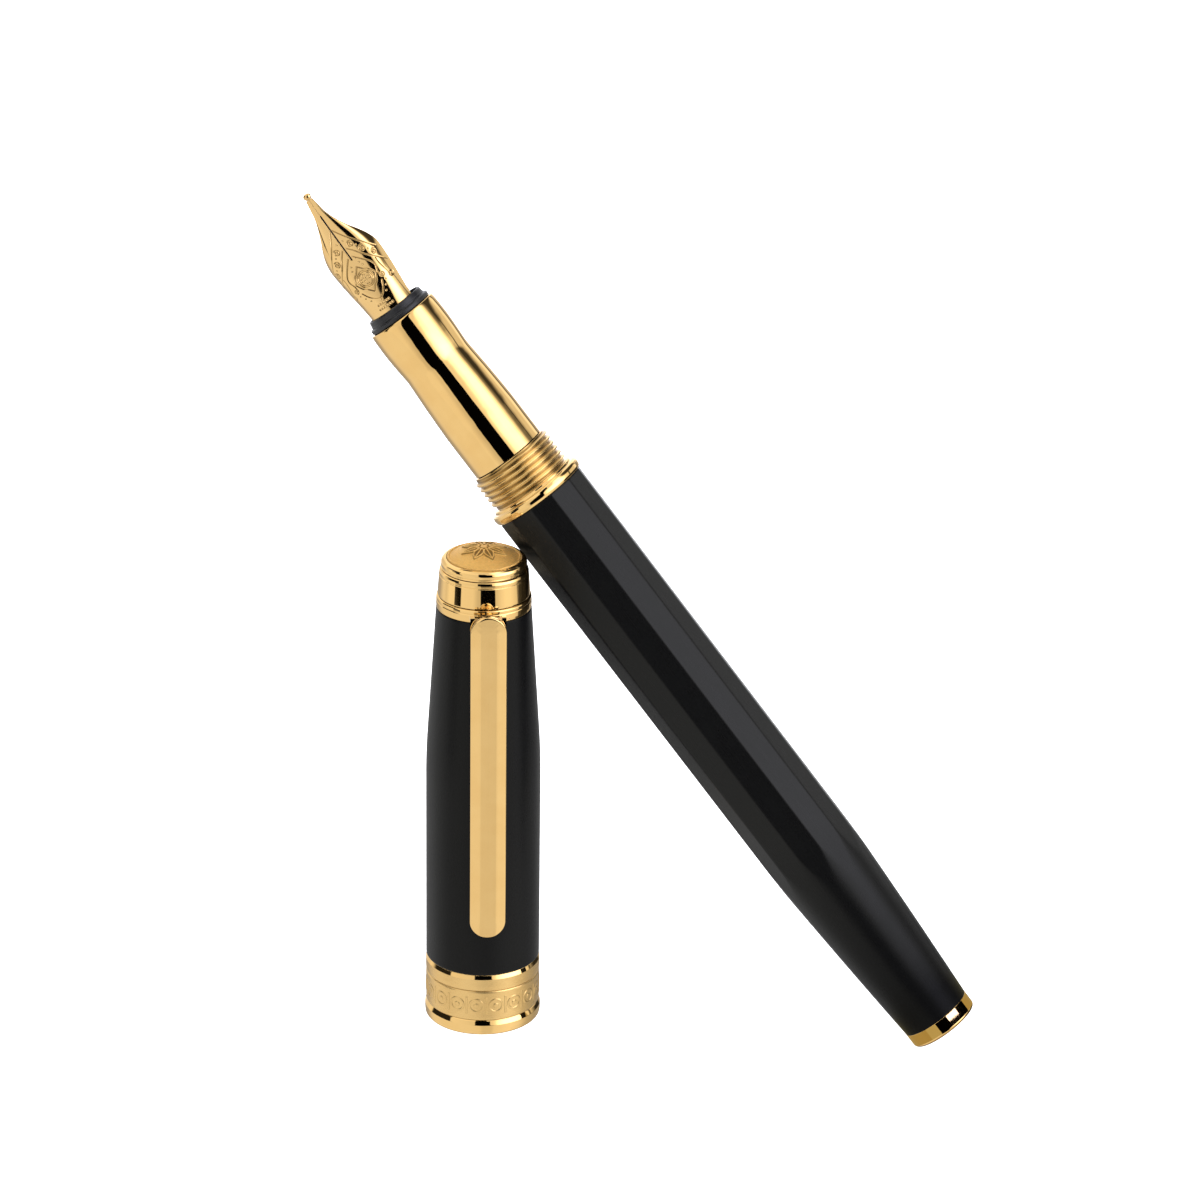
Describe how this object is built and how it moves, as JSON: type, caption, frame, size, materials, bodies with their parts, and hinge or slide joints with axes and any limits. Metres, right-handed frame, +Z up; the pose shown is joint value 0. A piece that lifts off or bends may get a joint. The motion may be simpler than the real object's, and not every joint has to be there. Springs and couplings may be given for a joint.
{
  "type": "fountain pen",
  "caption": "Fountain pen leaning on its upright cap: faceted black barrel, gold-coloured grip, nib and fittings, converter inside, screw cap with sprung clip.",
  "frame": {"origin": "centre of the cap's mouth, on the table plane the cap stands on", "axes": "+Z up along the cap's axis, +X towards the tail of the leaning pen, -Y towards the front, where the clip faces"},
  "size_m": [0.0774, 0.0258, 0.0962],
  "materials": {
    "black_barrel": "satin black resin, fine grain, faint longitudinal polishing marks",
    "gold": "polished gold plate",
    "gold_satin": "satin gold plate, fine circular brushing",
    "nib_gold": "polished gold, engraved",
    "tipping": "polished hard alloy",
    "black_plastic": "moulded black plastic",
    "rubber_seal": "matt rubber",
    "raw_brass": "turned brass",
    "steel": "turned steel",
    "clear_plastic": "clear moulded plastic"
  },
  "bodies": {
    "barrel": {"barrel_shell": "black_barrel", "barrel_liner": "raw_brass", "tail_finial": "gold", "thread_collar": "gold"},
    "section_carrier": {"section_o_ring": "rubber_seal"},
    "section": {"grip_shell": "gold", "section_core": "black_plastic", "section_thread_bush": "raw_brass", "front_ring": "black_plastic", "ink_nipple": "black_plastic"},
    "nib_unit": {"nib": "nib_gold", "nib_tipping": "tipping", "feed": "black_plastic"},
    "converter": {"converter_tube": "clear_plastic", "converter_band": "gold", "rod_guide_nut": "black_plastic"},
    "knob": {"converter_knob": "black_plastic"},
    "piston": {"piston_rod": "steel", "piston_head": "black_plastic", "piston_seals": "rubber_seal"},
    "cap": {"cap_shell": "black_barrel", "cap_liner": "black_plastic", "cap_thread_insert": "raw_brass", "cap_lip_ring": "gold", "band_middle": "gold_satin", "band_upper_ring": "gold", "crown_base_ring": "gold", "crown_band": "gold", "crown_top_ring": "gold", "emblem_dome": "gold_satin", "finial_screw": "steel", "finial_nut": "raw_brass", "clip_pin": "steel", "clip_spring": "steel"},
    "clip": {"clip": "gold"}
  },
  "joints": [
    {"name": "section_unscrew", "type": "slide", "parent": "barrel", "child": "section_carrier", "axis": [-0.6113, 0.1718, 0.7725], "range_m": [0, 0.0045]},
    {"name": "section_turn", "type": "hinge", "parent": "section_carrier", "child": "section", "pos_m": [-0.00118, 0.00803, 0.07174], "axis": [-0.6113, 0.1718, 0.7725], "range_deg": [0, 2160.5]},
    {"name": "nib_pull", "type": "slide", "parent": "section", "child": "nib_unit", "axis": [-0.6113, 0.1718, 0.7725], "range_m": [0, 0.018]},
    {"name": "converter_pull", "type": "slide", "parent": "section", "child": "converter", "axis": [0.6113, -0.1718, -0.7725], "range_m": [0, 0.007]},
    {"name": "knob_turn", "type": "hinge", "parent": "converter", "child": "knob", "pos_m": [0.03856, -0.00313, 0.02153], "axis": [-0.6113, 0.1718, 0.7725], "range_deg": [0, 2880.5]},
    {"name": "piston_travel", "type": "slide", "parent": "converter", "child": "piston", "axis": [0.6113, -0.1718, -0.7725], "range_m": [0, 0.02]},
    {"name": "cap_move", "type": "slide", "parent": "barrel", "child": "cap", "axis": [-1, 0, 0], "range_m": [0, 0.06]},
    {"name": "clip_flex", "type": "hinge", "parent": "cap", "child": "clip", "pos_m": [0.0004, -0.00418, 0.05225], "axis": [-0.9954, -0.0958, 0], "range_deg": [0, 6], "stiffness_Nm_per_rad": 0.05, "springref_deg": -114.59}
  ],
  "couplings": [
    {"joint": "section_turn", "follows": "section_unscrew", "rad_per_m": 8377.6},
    {"joint": "knob_turn", "follows": "piston_travel", "rad_per_m": 2513.3}
  ]
}
